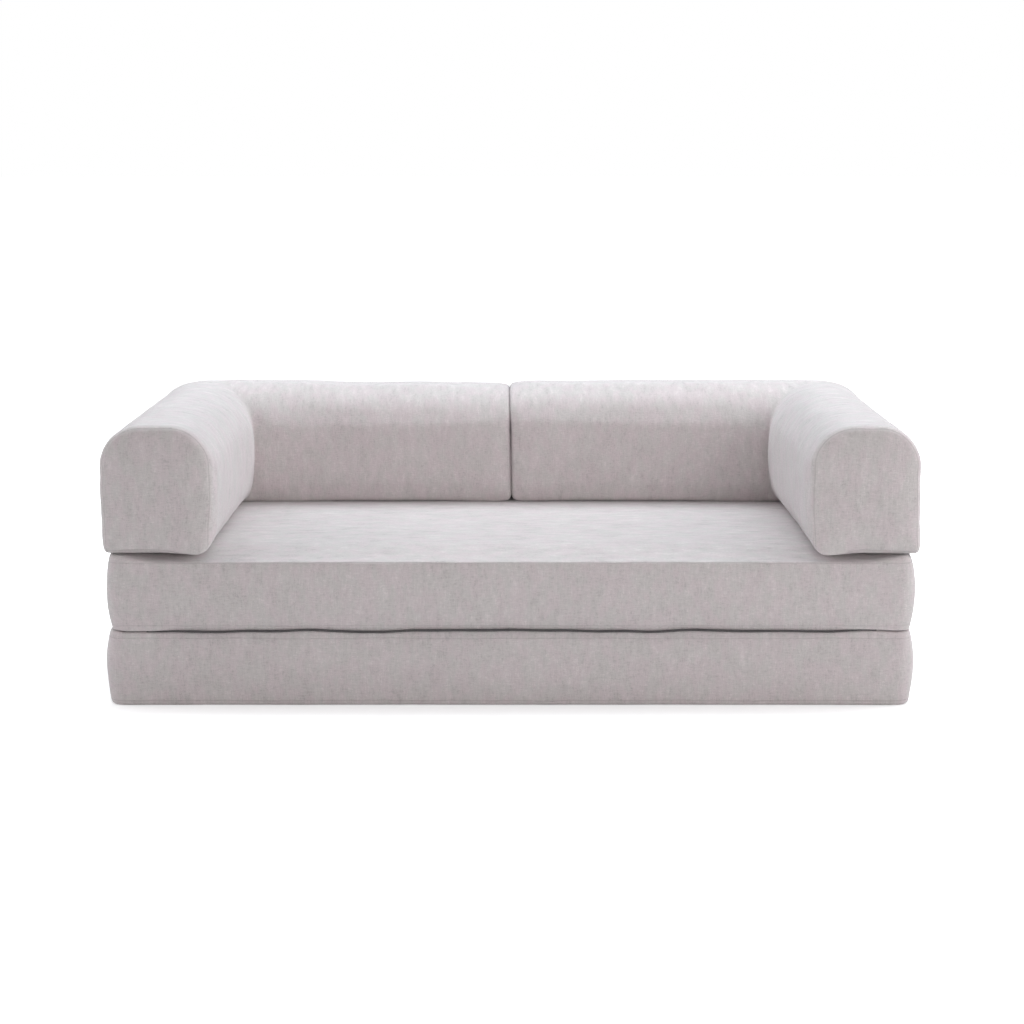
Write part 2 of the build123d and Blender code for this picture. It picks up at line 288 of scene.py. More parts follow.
def sweep_arm(bm, start_y, run):
    """Draws the section along the arm as far as the mitre, where the inner half ends sooner."""
    loop = bmesh.ops.create_circle(bm, segments=AROUND, radius=1)["verts"]
    for vert, (across, up) in zip(loop, d_section()):
        vert.co = (ARM_X - across, start_y, SEAT_LEVEL + up)
    bmesh.ops.spin(
        bm,
        geom=loop + list(bm.edges),
        cent=(0, 0, 0),
        axis=(0, 0, 1),
        dvec=(0, run / ALONG, 0),
        angle=0,
        steps=ALONG,
    )
    for vert in bm.verts:
        inner = max(0, vert.co.x - ARM_X)
        vert.co.y = start_y + (vert.co.y - start_y) * (run - inner) / run


def mirror_to_back(bm, arm_run, back_run):
    """Adds the half of the back: the arm over again, mirrored at the mitre and stretched to its length."""
    copied = bmesh.ops.duplicate(bm, geom=bm.verts[:] + bm.edges[:] + bm.faces[:])
    for vert in new_verts(copied):
        run = BACK_Y - vert.co.y
        inner = max(0, vert.co.x - ARM_X)
        run = inner + (run - inner) * (back_run - inner) / (arm_run - inner)
        vert.co = (ARM_X + run, BACK_Y - (vert.co.x - ARM_X), vert.co.z)


def turn_corner(bm):
    """Spins the arm's open outer half round the corner to meet the back, and joins it all."""
    outer_half = [
        edge
        for edge in bm.edges
        if all(abs(vert.co.y - BACK_Y) < 1e-5 and vert.co.x < ARM_X + 1e-5 for vert in edge.verts)
    ]
    ends = list({vert for edge in outer_half for vert in edge.verts})
    bmesh.ops.spin(
        bm,
        geom=ends + outer_half,
        cent=(ARM_X, BACK_Y, 0),
        axis=(0, 0, 1),
        dvec=(0, 0, 0),
        angle=-math.pi / 2,
        steps=CORNER_STEPS,
    )
    bmesh.ops.remove_doubles(bm, verts=bm.verts, dist=0.0003)
    bmesh.ops.recalc_face_normals(bm, faces=bm.faces)


def left_bolster():
    bm = bmesh.new()
    start_y = ARM_FRONT_Y + FRONT_END_RADIUS
    end_x = CENTRE_X - CENTRE_END_RADIUS
    arm_run = BACK_Y - start_y
    sweep_arm(bm, start_y, arm_run)
    mirror_to_back(bm, arm_run, end_x - ARM_X)
    turn_corner(bm)
    middle_height = SEAT_LEVEL + BOLSTER_HEIGHT * 0.48
    rim = [edge for edge in bm.edges if edge.is_boundary]
    front_rim = [edge for edge in rim if all(vert.co.y < start_y + 1e-4 for vert in edge.verts)]
    centre = Vector((ARM_X, start_y, middle_height))
    close_end(bm, front_rim, centre, Vector((0, -1, 0)), FRONT_END_RADIUS, FRONT_END_CROWN)
    centre_rim = [edge for edge in bm.edges if edge.is_boundary]
    centre = Vector((end_x, BACK_Y, middle_height))
    close_end(bm, centre_rim, centre, Vector((1, 0, 0)), CENTRE_END_RADIUS, 0)
    bmesh.ops.recalc_face_normals(bm, faces=bm.faces)
    print("bolster form of", len(bm.faces), "faces")
    return bm


# %% [markdown]
# ## Swelling the covers
# A sewn cover is a little tight over its foam, so it swells between its seams. The simulation blows each form up
# with a light pressure and no gravity, with its seams pinned. No point may move further than a few millimetres,
# because the foam inside is cut to shape and the pieces stand close together.

# %% Cloth over foam
FRAMES = 20


def keep_seams(bm, is_seam):
    """Marks the verts that a seam holds in place."""
    weights = bm.verts.layers.deform.verify()
    for vert in bm.verts:
        vert[weights][0] = 1.0 if is_seam(vert.co) else 0.0


def make_piece(name, bm):
    mesh = bpy.data.meshes.new(name)
    bm.to_mesh(mesh)
    bm.free()
    piece = bpy.data.objects.new(name, mesh)
    piece.vertex_groups.new(name="seams")
    scene.collection.objects.link(piece)
    return piece


def coordinates(mesh):
    flat = np.empty(len(mesh.vertices) * 3)
    mesh.vertices.foreach_get("co", flat)
    return flat.reshape(-1, 3)


def swell(piece, pressure, furthest):
    """Blows a piece up as cloth and keeps each point within a distance of its start."""
    before = coordinates(piece.data)
    cloth = piece.modifiers.new("cloth", "CLOTH")
    settings = cloth.settings
    settings.quality = 4
    settings.mass = 0.3
    settings.tension_stiffness = 20
    settings.compression_stiffness = 20
    settings.shear_stiffness = 8
    settings.bending_stiffness = 1.5
    settings.air_damping = 2
    settings.use_pressure = True
    settings.uniform_pressure_force = pressure
    settings.vertex_group_mass = "seams"
    settings.effector_weights.gravity = 0
    for number in range(1, FRAMES + 1):
        scene.frame_set(number)
    blown = piece.evaluated_get(bpy.context.evaluated_depsgraph_get())
    after = coordinates(blown.data)
    piece.modifiers.remove(cloth)
    scene.frame_set(1)
    move = after - before
    length = np.linalg.norm(move, axis=1, keepdims=True)
    move *= np.minimum(1, furthest / np.maximum(length, 1e-9))
    piece.data.vertices.foreach_set("co", (before + move).ravel())
    print(piece.name, "moved on average", round(float(np.linalg.norm(move, axis=1).mean()) * 1000, 2), "mm")


# %% [markdown]
# ## Where the covers rest and how they wander
# Each piece is flat where it lies on something, so its points go no lower than what carries it. A hand-filled cover
# is never quite straight: its edges wander by a few millimetres over a hand's width. Both mattresses wander
# together where they meet, so the line between them stays closed.

# %% Wandering edges
MATTRESS_ZIP_HEIGHT = 0.036
BOLSTER_ZIP_HEIGHT = 0.158
ZIP_ZONE = 0.06


def wander(point, size, reach):
    """A slow, even noise in metres."""
    return reach * noise.noise(Vector(point) / size)


def gap_wander(point):
    """How far the line between the mattresses leaves its level."""
    return wander((point.x, point.y, 0), 0.11, 0.0042) + wander((point.x, point.y, 3), 0.3, 0.002)


def beside_zip(point, height):
    """1 on the zip at the back of a cover, and 0 a hand's width away from it."""
    return ease(point.y, 0.40, 0.47) * (1 - ease(abs(point.z - height), 0.02, ZIP_ZONE))


# %% Settling a mattress
GAP_HALF = 0.0009
JOINT_REACH = 0.016
WANDER_REACH = 0.028
FRONT_SAG = 0.0165
SEAT_CROWN = 0.002
CORNER_TUCK = 0.008
FOOT_SPREAD = 0.005
ROUND_EDGE = 0.020


def roll_seat(point):
    """Crowns the seat a little, rolls its front edge down, and tucks its right top corner in."""
    from_middle = max(abs(point.x) / 0.72, abs(point.y + 0.16) / 0.36)
    inside = min(1, max(0, 1 - from_middle) * 3)
    point.z += SEAT_CROWN * inside * ease(point.z, SEAT_LEVEL - 0.004, SEAT_LEVEL)
    below_top = SEAT_LEVEL - point.z
    front = ease(-point.y, 0.33, 0.50) * (1 - ease(abs(point.x), 0.86, 0.99))
    point.z -= FRONT_SAG * front * (1 - ease(below_top, 0, THICKNESS / 2))
    point.x -= CORNER_TUCK * ease(point.x, 0.93, 0.99) * math.exp(-max(0, below_top) / 0.009)


def part_joint(point, away, rim):
    """Opens the line between the mattresses by a hair, away from the other one, and lets it wander."""
    from_joint = point.z - THICKNESS
    open_more = 1 + 0.4 * ease(abs(point.x), 0.885, 0.91)
    point.z += away * GAP_HALF * open_more * rim * (1 - ease(abs(from_joint), 0, JOINT_REACH))
    near = math.exp(-((from_joint / WANDER_REACH) ** 2))
    point.z += gap_wander(point) * near * rim * ease(-point.y, -0.46, -0.38)


def settle_mattress(piece, level, pushes):
    """Keeps a mattress between what it lies on and what lies on it. The pushes make up for the drawn-in sides."""
    push_left, push_right = pushes
    for vert in piece.data.vertices:
        point = vert.co
        out = from_core(point)[1]
        point.z = min(max(point.z, level), level + THICKNESS)
        free = 1 - beside_zip(point, level + MATTRESS_ZIP_HEIGHT)
        if level:
            roll_seat(point)
        part_joint(point, 1 if level else -1, ease(out.length, 0, ROUND_EDGE))
        if out.length > ROUND_EDGE:
            slow = wander((point.x, point.y, point.z * 2), 0.16, 0.0018)
            slow += wander((point.y, point.z, point.x), 0.06, 0.0008)
            point += out.normalized() * slow * free
            if not level:
                point += out.normalized() * FOOT_SPREAD * math.exp(-point.z / 0.014) * free
        point.x += push_right * ease(point.x, 0.55, 0.97) - push_left * ease(-point.x, 0.55, 0.97)
    print(piece.name, "settled")


def tuck_under_bolsters(piece):
    """Sinks the seat's top a little where the fastening strips lie, under the bolsters."""
    top = SEAT_LEVEL - 0.004
    for vert in piece.data.vertices:
        point = vert.co
        under_arm = abs(abs(point.x) + ARM_X) < 0.075 and -0.44 < point.y < 0.43
        under_back = abs(point.y - BACK_Y) < 0.075 and abs(point.x) < 0.93
        if point.z > top and (under_arm or under_back):
            point.z = min(point.z, SEAT_LEVEL) - 0.0015


def sink_underside(piece):
    """Makes room for the non-slip panel, inside the rim that stands on the floor."""
    for vert in piece.data.vertices:
        point = vert.co
        if point.z < 0.001 and abs(point.x) < 0.94 and abs(point.y) < 0.44:
            point.z = 0.0017


def across_bolster(point):
    """How far a point lies from the line through the middle of the arm and the back."""
    over_x = abs(point.x) + ARM_X
    over_y = point.y - BACK_Y
    if over_x < 0 and over_y < 0:
        return min(-over_x, -over_y)
    if over_x > 0 and over_y > 0:
        return math.hypot(over_x, over_y)
    return max(over_x, over_y)


# %% Settling a bolster
INNER_SWELL = 0.011
SWELL_HEIGHT = 0.29
CREASE_REACH = 0.12
CENTRE_LEAN = 0.005
FULLER_FOOT = 0.0055
FRONT_LIFT = 0.0015
BACK_FOOT = 0.024
STRIP_ROOM = 0.0014


def inner_swelling(point, side, high):
    """How far a point moves where the cover swells out on both sides of its inner crease."""
    reach = abs(point.x)
    from_crease = (reach + ARM_X) - (point.y - BACK_Y)
    fullness = INNER_SWELL * math.sin(math.pi * min(1, high / SWELL_HEIGHT))
    fullness *= math.exp(-((from_crease / 0.17) ** 2))
    if from_crease > 0:
        fullness *= ease(-ARM_X - reach, 0, 0.11)
        towards_middle, forwards = 1, max(0, 1 - from_crease / CREASE_REACH)
    else:
        fullness *= ease(BACK_Y - point.y, 0, 0.11)
        towards_middle, forwards = max(0, 1 + from_crease / CREASE_REACH), 1
    return Vector((-side * fullness * towards_middle, -fullness * forwards, 0))


def settle_bolster(piece, side, taller, arm_slimmer):
    """Fills the inner corner and the feet out, leans the middle gap, and keeps the foot flat on the seat."""
    for vert in piece.data.vertices:
        point = vert.co
        high = max(0, point.z - SEAT_LEVEL)
        reach = abs(point.x)
        swelling = inner_swelling(point, side, high)
        arm_side = ease(reach + ARM_X, 0, 0.11) * ease(-point.y, -0.35, -0.15)
        below_crest = max(0, CREST_HEIGHT - high) / CREST_HEIGHT
        free = 1 - beside_zip(point, SEAT_LEVEL + BOLSTER_ZIP_HEIGHT)
        slow = wander(point, 0.13, 0.0022) + wander((point.y, point.z, point.x), 0.05, 0.0007)
        point += vert.normal * slow * free * min(1, high / 0.02)
        point += swelling
        point.x -= side * arm_slimmer * arm_side * (1 - 1.3 * below_crest**2)
        point.x += side * FULLER_FOOT * arm_side * below_crest**2
        point.x -= CENTRE_LEAN * (high / BOLSTER_HEIGHT) * (1 - ease(reach, 0.02, 0.3))
        point.z += taller * (high / BOLSTER_HEIGHT) * (1 - ease(reach, 0.35, 0.7))
        point.z = max(point.z, SEAT_LEVEL)
        if side < 0:
            point.z += FRONT_LIFT * ease(-point.y, 0.43, 0.485) * (1 - ease(high, 0, 0.06))
        inside_back = ease(-ARM_X - reach, 0, 0.11) * ease(BACK_Y - point.y, 0.05, 0.10)
        point.y -= BACK_FOOT * inside_back * math.exp(-high / 0.012)
        if high < 0.002 and across_bolster(point) < 0.09 and point.y > -0.43:
            point.z = SEAT_LEVEL + STRIP_ROOM
    print(piece.name, "settled")


def smooth_up(piece):
    """Divides the faces once and keeps the result."""
    divide = piece.modifiers.new("smooth", "SUBSURF")
    divide.levels = divide.render_levels = 1
    smoothed = bpy.data.meshes.new_from_object(piece.evaluated_get(bpy.context.evaluated_depsgraph_get()))
    piece.modifiers.clear()
    piece.data = smoothed
    piece.data.polygons.foreach_set("use_smooth", [True] * len(smoothed.polygons))


# %% The four covers
PRESSURE = 4
FURTHEST_SWELL = 0.004

base_form = slab(0, top_radii=(0.008, 0.008), bottom_radius=0.014)
seat_form = slab(THICKNESS, top_radii=(0.011, 0.007), bottom_radius=0.005)
for form, level in ((base_form, 0), (seat_form, THICKNESS)):
    keep_seams(form, lambda point: beside_zip(point, level + MATTRESS_ZIP_HEIGHT) > 0.5)
base_cover = make_piece("base_sewn_cover", base_form)
seat_cover = make_piece("seat_sewn_cover", seat_form)


def held_on_bolster(point):
    """True on the inner crease, and on the zip."""
    crease = point.x > ARM_X + 0.004 and abs(point.x - ARM_X + point.y - BACK_Y) < 0.001
    return crease or beside_zip(point, SEAT_LEVEL + BOLSTER_ZIP_HEIGHT) > 0.5


left_form = left_bolster()
keep_seams(left_form, held_on_bolster)
right_form = left_form.copy()
bmesh.ops.scale(right_form, vec=(-1, 1, 1), verts=right_form.verts)
bmesh.ops.recalc_face_normals(right_form, faces=right_form.faces)
left_cover = make_piece("left_bolster_sewn_cover", left_form)
right_cover = make_piece("right_bolster_sewn_cover", right_form)

covers = (base_cover, seat_cover, left_cover, right_cover)
for cover in covers:
    swell(cover, PRESSURE, FURTHEST_SWELL)
settle_mattress(base_cover, 0, pushes=(0.0115, 0.004))
settle_mattress(seat_cover, THICKNESS, pushes=(0.0065, 0.0035))
settle_bolster(left_cover, side=-1, taller=-0.0065, arm_slimmer=0)
settle_bolster(right_cover, side=1, taller=-0.0025, arm_slimmer=0.004)
for cover in covers:
    smooth_up(cover)
sink_underside(base_cover)
tuck_under_bolsters(seat_cover)

# %% [markdown]
# ## Zip pockets
# Each cover comes off for washing, so it has a long zip low on its hidden side. The cloth stops at the zip's edges
# and lies a few millimetres higher than its tape. The faces are cut exactly along the tape's outline, and the piece
# inside is pushed in, so that the tape, the teeth and the slider lie in a shallow pocket.

# %% Pockets for the zips
POCKET_DEPTH = 0.0031
POCKET_MARGIN = 0.0004


def sink_pocket(piece, node):
    """Cuts a piece's faces along a tape's outline and pushes what lies inside it in."""
    low, high = (Vector(corner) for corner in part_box(node))
    bm = bmesh.new()
    bm.from_mesh(piece.data)
    cuts = (
        (0, low.x - POCKET_MARGIN),
        (0, high.x + POCKET_MARGIN),
        (2, low.z - POCKET_MARGIN),
        (2, high.z + POCKET_MARGIN),
    )

    def at_the_back(face, margin):
        middle = face.calc_center_median()
        beside = low.x - margin < middle.x < high.x + margin and low.z - margin < middle.z < high.z + margin
        return beside and middle.y > low.y - 0.02 and face.normal.y > 0.5

    near = [face for face in bm.faces if at_the_back(face, 0.03)]
    for axis, place in cuts:
        parts = set(near)
        for face in near:
            parts.update(face.edges)
            parts.update(face.verts)
        direction = Vector((axis == 0, 0, axis == 2))
        cut = bmesh.ops.bisect_plane(bm, geom=list(parts), plane_co=direction * place, plane_no=direction, dist=1e-5)
        near = [part for part in cut["geom"] if isinstance(part, bmesh.types.BMFace)]
    window = [face for face in near if at_the_back(face, POCKET_MARGIN)]
    inwards = sum((face.normal for face in window), Vector()).normalized() * -POCKET_DEPTH
    made = bmesh.ops.extrude_face_region(bm, geom=window)
    bmesh.ops.translate(bm, verts=new_verts(made), vec=inwards)
    left_over = [face for face in window if face.is_valid]
    if left_over:
        bmesh.ops.delete(bm, geom=left_over, context="FACES")
    bm.to_mesh(piece.data)
    open_edges = sum(edge.is_boundary for edge in bm.edges)
    print(piece.name, "zip pocket of", len(window), "faces,", open_edges, "open edges")
    bm.free()


for cover, node in (
    (base_cover, "base_zip_tape"),
    (seat_cover, "seat_zip_tape"),
    (left_cover, "left_bolster_zip_tape"),
    (right_cover, "right_bolster_zip_tape"),
):
    sink_pocket(cover, node)

# %% [markdown]
# ## What each cover stands for
# In the imported model each cushion is a plain cover with blocks of foam inside it. The sewn cover here is the skin of
# that cushion, so it stands for the imported cover and for the foam, and moves with the same body.

# %% Bodies and fillings
for cover, body, hidden in (
    (base_cover, "base", ("base_cover", "base_support_foam", "base_comfort_foam")),
    (seat_cover, "seat", ("seat_cover", "seat_support_foam", "seat_comfort_foam")),
    (left_cover, "left_bolster", ("left_bolster_cover", "left_arm_foam", "left_back_foam")),
    (right_cover, "right_bolster", ("right_bolster_cover", "right_arm_foam", "right_back_foam")),
):
    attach(cover, body)
    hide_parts(*hidden)
    print(cover.name, "rides on", body, "and stands for", ", ".join(hidden))

# %% [markdown]
# ## The hinge tape
# Two strips of webbing are sewn along the front edge, one to each mattress, and the seat folds over on them. They
# lie in the narrow gap, and their near-black colour is painted shade: it makes the gap show as a dark line. A strip is
# a thin grid with a thickness, and it wanders with the edges that it is sewn to.

# %% Two strips of webbing
STRIP_THICKNESS = 0.0008
END_SETBACK = 0.011


def hinge_strip(name, node, body):
    """A strip in place of a packed hinge leaf. Its front edge lies a little deeper towards its ends."""
    low, high = (Vector(corner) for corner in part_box(node))
    if body == "base":
        low.z = high.z - STRIP_THICKNESS
    else:
        high.z = low.z + STRIP_THICKNESS
    middle = (low + high) / 2
    size = high - low
    bm = bmesh.new()
    bmesh.ops.create_grid(bm, x_segments=150, y_segments=4, size=1)
    bmesh.ops.scale(bm, vec=(size.x / 2, size.y / 2, 1), verts=bm.verts)
    bmesh.ops.translate(bm, vec=(middle.x, middle.y, low.z), verts=bm.verts)
    raised = bmesh.ops.extrude_face_region(bm, geom=bm.faces[:])
    bmesh.ops.translate(bm, vec=(0, 0, size.z), verts=new_verts(raised))
    bmesh.ops.recalc_face_normals(bm, faces=bm.faces)
    for vert in bm.verts:
        vert.co.z += gap_wander(vert.co)
        if vert.co.y < middle.y:
            vert.co.y += END_SETBACK * ease(abs(vert.co.x), 0.78, 0.90)
    piece = make_piece(name, bm)
    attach(piece, body)
    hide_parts(node)
    print(name, "is", round(size.x, 3), "m long and", round(size.y * 1000, 1), "mm wide")
    return piece


hinge_strips = (
    hinge_strip("base_hinge_webbing", "base_hinge_leaf", "base"),
    hinge_strip("seat_hinge_webbing", "seat_hinge_leaf", "seat"),
)

# %% [markdown]
# ## Chenille
# The cover is a short chenille: a soft pile in thick, uneven threads. From a few metres away it shows three things.
# The pile threads draw fine pale and dark streaks the short way round each cushion, and fainter ones cross them.
# The pile leans this way and that in patches the size of a thumb or a hand, a little pinker or greener than the
# rest. And light catches the pile's tips at a flat angle, so the upper faces look paler. The streaks are noise that
# is stretched along one axis. A surface's direction says which axis that is, so the same cloth turns with the form.
# The streaks, the cross threads and the leaning pile go into a group, because all the covers share them.

# %% Helpers for node trees
def node_group(name, inputs, outputs):
    group = bpy.data.node_groups.new(name, "ShaderNodeTree")
    for label, kind in inputs:
        group.interface.new_socket(label, in_out="INPUT", socket_type=kind)
    for label, kind in outputs:
        group.interface.new_socket(label, in_out="OUTPUT", socket_type=kind)
    return group, group.nodes.new("NodeGroupInput"), group.nodes.new("NodeGroupOutput")


def math_node(tree, operation, first, second=None, third=None):
    node = tree.nodes.new("ShaderNodeMath")
    node.operation = operation
    for socket, value in zip(node.inputs, (first, second, third)):
        if value is None:
            continue
        if isinstance(value, (int, float)):
            socket.default_value = value
        else:
            tree.links.new(value, socket)
    return node.outputs[0]


def noise_node(tree, vector, scale, detail=2.0, roughness=0.5):
    node = tree.nodes.new("ShaderNodeTexNoise")
    tree.links.new(vector, node.inputs["Vector"])
    node.inputs["Scale"].default_value = scale
    node.inputs["Detail"].default_value = detail
    node.inputs["Roughness"].default_value = roughness
    return node.outputs["Fac"]


def stretched(tree, vector, stretch):
    node = tree.nodes.new("ShaderNodeVectorMath")
    node.operation = "MULTIPLY"
    tree.links.new(vector, node.inputs[0])
    node.inputs[1].default_value = stretch
    return node.outputs[0]


def split(tree, vector):
    node = tree.nodes.new("ShaderNodeSeparateXYZ")
    tree.links.new(vector, node.inputs[0])
    return node.outputs


def level_node(tree, value, low, high, to_low=0.0, to_high=1.0):
    node = tree.nodes.new("ShaderNodeMapRange")
    node.interpolation_type = "SMOOTHSTEP"
    tree.links.new(value, node.inputs["Value"])
    for label, number in (("From Min", low), ("From Max", high), ("To Min", to_low), ("To Max", to_high)):
        node.inputs[label].default_value = number
    return node.outputs["Result"]


def blend_values(tree, share, first, second):
    """first where share is 0, and second where it is 1."""
    difference = math_node(tree, "SUBTRACT", second, first)
    return math_node(tree, "MULTIPLY_ADD", difference, share, first)


def added(tree, *weighted):
    """The sum of values around a half, each with its weight."""
    total = 0.5
    for value, weight in weighted:
        centred = math_node(tree, "SUBTRACT", value, 0.5)
        total = math_node(tree, "MULTIPLY_ADD", centred, weight, total)
    return total


def around_half(tree, value, strength):
    """A value with its distance from a half made larger or smaller."""
    return math_node(tree, "MULTIPLY_ADD", math_node(tree, "SUBTRACT", value, 0.5), strength, 0.5)


def line_mask(tree, value, place, half_width):
    """1 on a thin line where a value passes a place."""
    away = math_node(tree, "ABSOLUTE", math_node(tree, "SUBTRACT", value, place))
    return level_node(tree, away, half_width * 0.4, half_width * 1.6, 1.0, 0.0)


# %% A group for the pile's streaks
pile, pile_in, pile_out = node_group(
    "pile",
    (("Vector", "NodeSocketVector"), ("Normal", "NodeSocketVector"), ("Arm", "NodeSocketFloat")),
    tuple((label, "NodeSocketFloat") for label in ("Streaks", "Cross", "Nap", "Calmer")),
)
facing = split(pile, pile_in.outputs["Normal"])
sideways = math_node(pile, "ABSOLUTE", facing[0])
upwards = math_node(pile, "ABSOLUTE", facing[2])
turned = math_node(pile, "MULTIPLY_ADD", upwards, pile_in.outputs["Arm"], sideways)
turned = level_node(pile, turned, 0.45, 0.75)


def both_ways(long_scale, fine_scale, detail):
    """A streak noise that is fine across x, and one that is fine across y, chosen by the surface's direction."""
    across_x = stretched(pile, pile_in.outputs["Vector"], (fine_scale, long_scale, long_scale))
    across_y = stretched(pile, pile_in.outputs["Vector"], (long_scale, fine_scale, long_scale))
    return blend_values(
        pile,
        turned,
        noise_node(pile, across_x, 1.0, detail),
        noise_node(pile, across_y, 1.0, detail),
    )


calmer = math_node(pile, "MULTIPLY_ADD", upwards, -0.32, 1.0)
livelier = math_node(pile, "MULTIPLY_ADD", upwards, 1.0, 1.0)
streaks = around_half(pile, both_ways(62, 330, 2.0), calmer)
nap = around_half(pile, both_ways(20, 52, 2.0), livelier)
cross_on_sides = noise_node(pile, stretched(pile, pile_in.outputs["Vector"], (90, 90, 310)), 1.0, 1.0)
cross_on_top = noise_node(pile, stretched(pile, pile_in.outputs["Vector"], (150, 150, 150)), 1.0, 1.0)
cross = blend_values(pile, level_node(pile, upwards, 0.4, 0.7), cross_on_sides, cross_on_top)
cross = around_half(pile, cross, calmer)
for label, value in (("Streaks", streaks), ("Cross", cross), ("Nap", nap), ("Calmer", calmer)):
    pile.links.new(value, pile_out.inputs[label])
print("pile group of", len(pile.nodes), "nodes")


# %% Chenille on the covers
def new_material(name):
    material = bpy.data.materials.new(name)
    material.use_nodes = True
    tree = material.node_tree
    shader = tree.nodes["Principled BSDF"]
    place = tree.nodes.new("ShaderNodeTexCoord")
    return material, tree, shader, place


def mix_colours(tree, factor, first, second):
    node = tree.nodes.new("ShaderNodeMix")
    node.data_type = "RGBA"
    if isinstance(factor, (int, float)):
        node.inputs["Factor"].default_value = factor
    else:
        tree.links.new(factor, node.inputs["Factor"])
    for label, value in (("A", first), ("B", second)):
        socket = [entry for entry in node.inputs if entry.name == label and entry.type == "RGBA"][0]
        if isinstance(value, tuple):
            socket.default_value = (*value, 1)
        else:
            tree.links.new(value, socket)
    return [entry for entry in node.outputs if entry.type == "RGBA"][0]


def raise_surface(tree, shader, height, strength, distance):
    bump = tree.nodes.new("ShaderNodeBump")
    bump.inputs["Strength"].default_value = strength
    bump.inputs["Distance"].default_value = distance
    tree.links.new(height, bump.inputs["Height"])
    tree.links.new(bump.outputs["Normal"], shader.inputs["Normal"])


GREENER = (0.578, 0.543, 0.533)
PINKER = (0.603, 0.534, 0.542)
GROUND = (0.590, 0.539, 0.538)
SHADED = 0.78
LIT = 1.19
# The seams are darkened towards this colour, which is painted shade in their creases.
SEAM_SHADE_COLOUR = (0.33, 0.30, 0.30)
SEAM_SHADE_STRENGTH = 0.55


def chenille(name, seam_and_shade_of, arm_of=None, top_runs_across=0.0):
    """The cover's cloth.

    The seam mask draws the sewn lines, as a groove in the bump and as a darker colour that is painted shade in their
    creases. The streaks on the upper faces are fine across x where arm_of or top_runs_across is 0, and fine across y
    where it is 1."""
    material, tree, shader, place = new_material(name)
    spot = place.outputs["Object"]
    x, y, z = split(tree, spot)
    woven = tree.nodes.new("ShaderNodeGroup")
    woven.node_tree = pile
    tree.links.new(spot, woven.inputs["Vector"])
    tree.links.new(place.outputs["Normal"], woven.inputs["Normal"])
    woven.inputs["Arm"].default_value = top_runs_across
    if arm_of:
        tree.links.new(arm_of(tree, x, y), woven.inputs["Arm"])
    streaks, cross, nap, calmer = (woven.outputs[label] for label in ("Streaks", "Cross", "Nap", "Calmer"))
    patches = noise_node(tree, stretched(tree, spot, (30, 24, 17)), 1.0, 3.0, 0.55)
    ground = mix_colours(tree, level_node(tree, patches, 0.38, 0.62), GREENER, PINKER)
    fine = around_half(tree, noise_node(tree, spot, 620, 1.0), calmer)
    broad = noise_node(tree, spot, 7, 2.0)
    shade = added(tree, (streaks, 0.72), (cross, 0.72), (nap, 0.55), (fine, 0.92), (broad, 0.3))
    dark = tuple(value * SHADED for value in GROUND)
    bright = tuple(min(1, value * LIT) for value in GROUND)
    low_side = mix_colours(tree, level_node(tree, shade, 0.0, 0.5), dark, ground)
    finished = mix_colours(tree, level_node(tree, shade, 0.5, 1.0), low_side, bright)
    seam = seam_and_shade_of(tree, x, y, z, noise_node(tree, spot, 9, 1.0))
    # The seams darken the colour here: painted shade in their creases.
    finished = mix_colours(tree, math_node(tree, "MULTIPLY", seam, SEAM_SHADE_STRENGTH), finished, SEAM_SHADE_COLOUR)
    tree.links.new(finished, shader.inputs["Base Color"])
    shader.inputs["Roughness"].default_value = 0.95
    shader.inputs["Specular IOR Level"].default_value = 0.15
    shader.inputs["Sheen Weight"].default_value = 0.35
    shader.inputs["Sheen Roughness"].default_value = 0.45
    shader.inputs["Sheen Tint"].default_value = (0.95, 0.98, 1.0, 1)
    height = added(tree, (streaks, 0.8), (cross, 0.7), (fine, 0.7), (nap, 0.5), (seam, -1.2))
    raise_surface(tree, shader, height, 0.55, 0.0015)
    return material


def mattress_seams_and_shade(heights):
    """Level seams round a mattress, each at a height and with a strength; their darker colour is painted shade."""

    def seam_and_shade_of(tree, x, y, z, loose):
        masks = None
        wandering = math_node(tree, "MULTIPLY_ADD", loose, 0.006, -0.003)
        height = math_node(tree, "ADD", z, wandering)
        for place, strength in heights:
            line = math_node(tree, "MULTIPLY", line_mask(tree, height, place, 0.0011), strength)
            masks = line if masks is None else math_node(tree, "MAXIMUM", masks, line)
        return masks

    return seam_and_shade_of


def arm_seam_and_shade(tree, x, y, z, loose):
    """The sewn line that runs round the front of an arm, just behind its edge. Its darker colour is painted shade."""
    wandering = math_node(tree, "MULTIPLY_ADD", loose, 0.003, -0.0015)
    line = line_mask(tree, math_node(tree, "ADD", y, wandering), ARM_FRONT_Y + 0.0065, 0.0010)
    return math_node(tree, "MULTIPLY", line, 0.55)


def on_arm(tree, x, y):
    """1 on the arms and 0 on the back, with the change at the mitre."""
    from_crease = math_node(tree, "SUBTRACT", y, math_node(tree, "ABSOLUTE", x))
    return level_node(tree, from_crease, BACK_Y + ARM_X - 0.01, BACK_Y + ARM_X + 0.01, 1.0, 0.0)


base_cloth = chenille("base_chenille", mattress_seams_and_shade(((0.172, 0.5), (0.013, 0.6))))
seat_cloth = chenille("seat_chenille", mattress_seams_and_shade(((0.361, 0.5), (0.204, 0.35))), top_runs_across=1.0)
bolster_cloth = chenille("bolster_chenille", arm_seam_and_shade, on_arm)
for cover, cloth in zip(covers, (base_cloth, seat_cloth, bolster_cloth, bolster_cloth)):
    cover.data.materials.clear()
    cover.data.materials.append(cloth)
    print(cover.name, "gets", cloth.name)
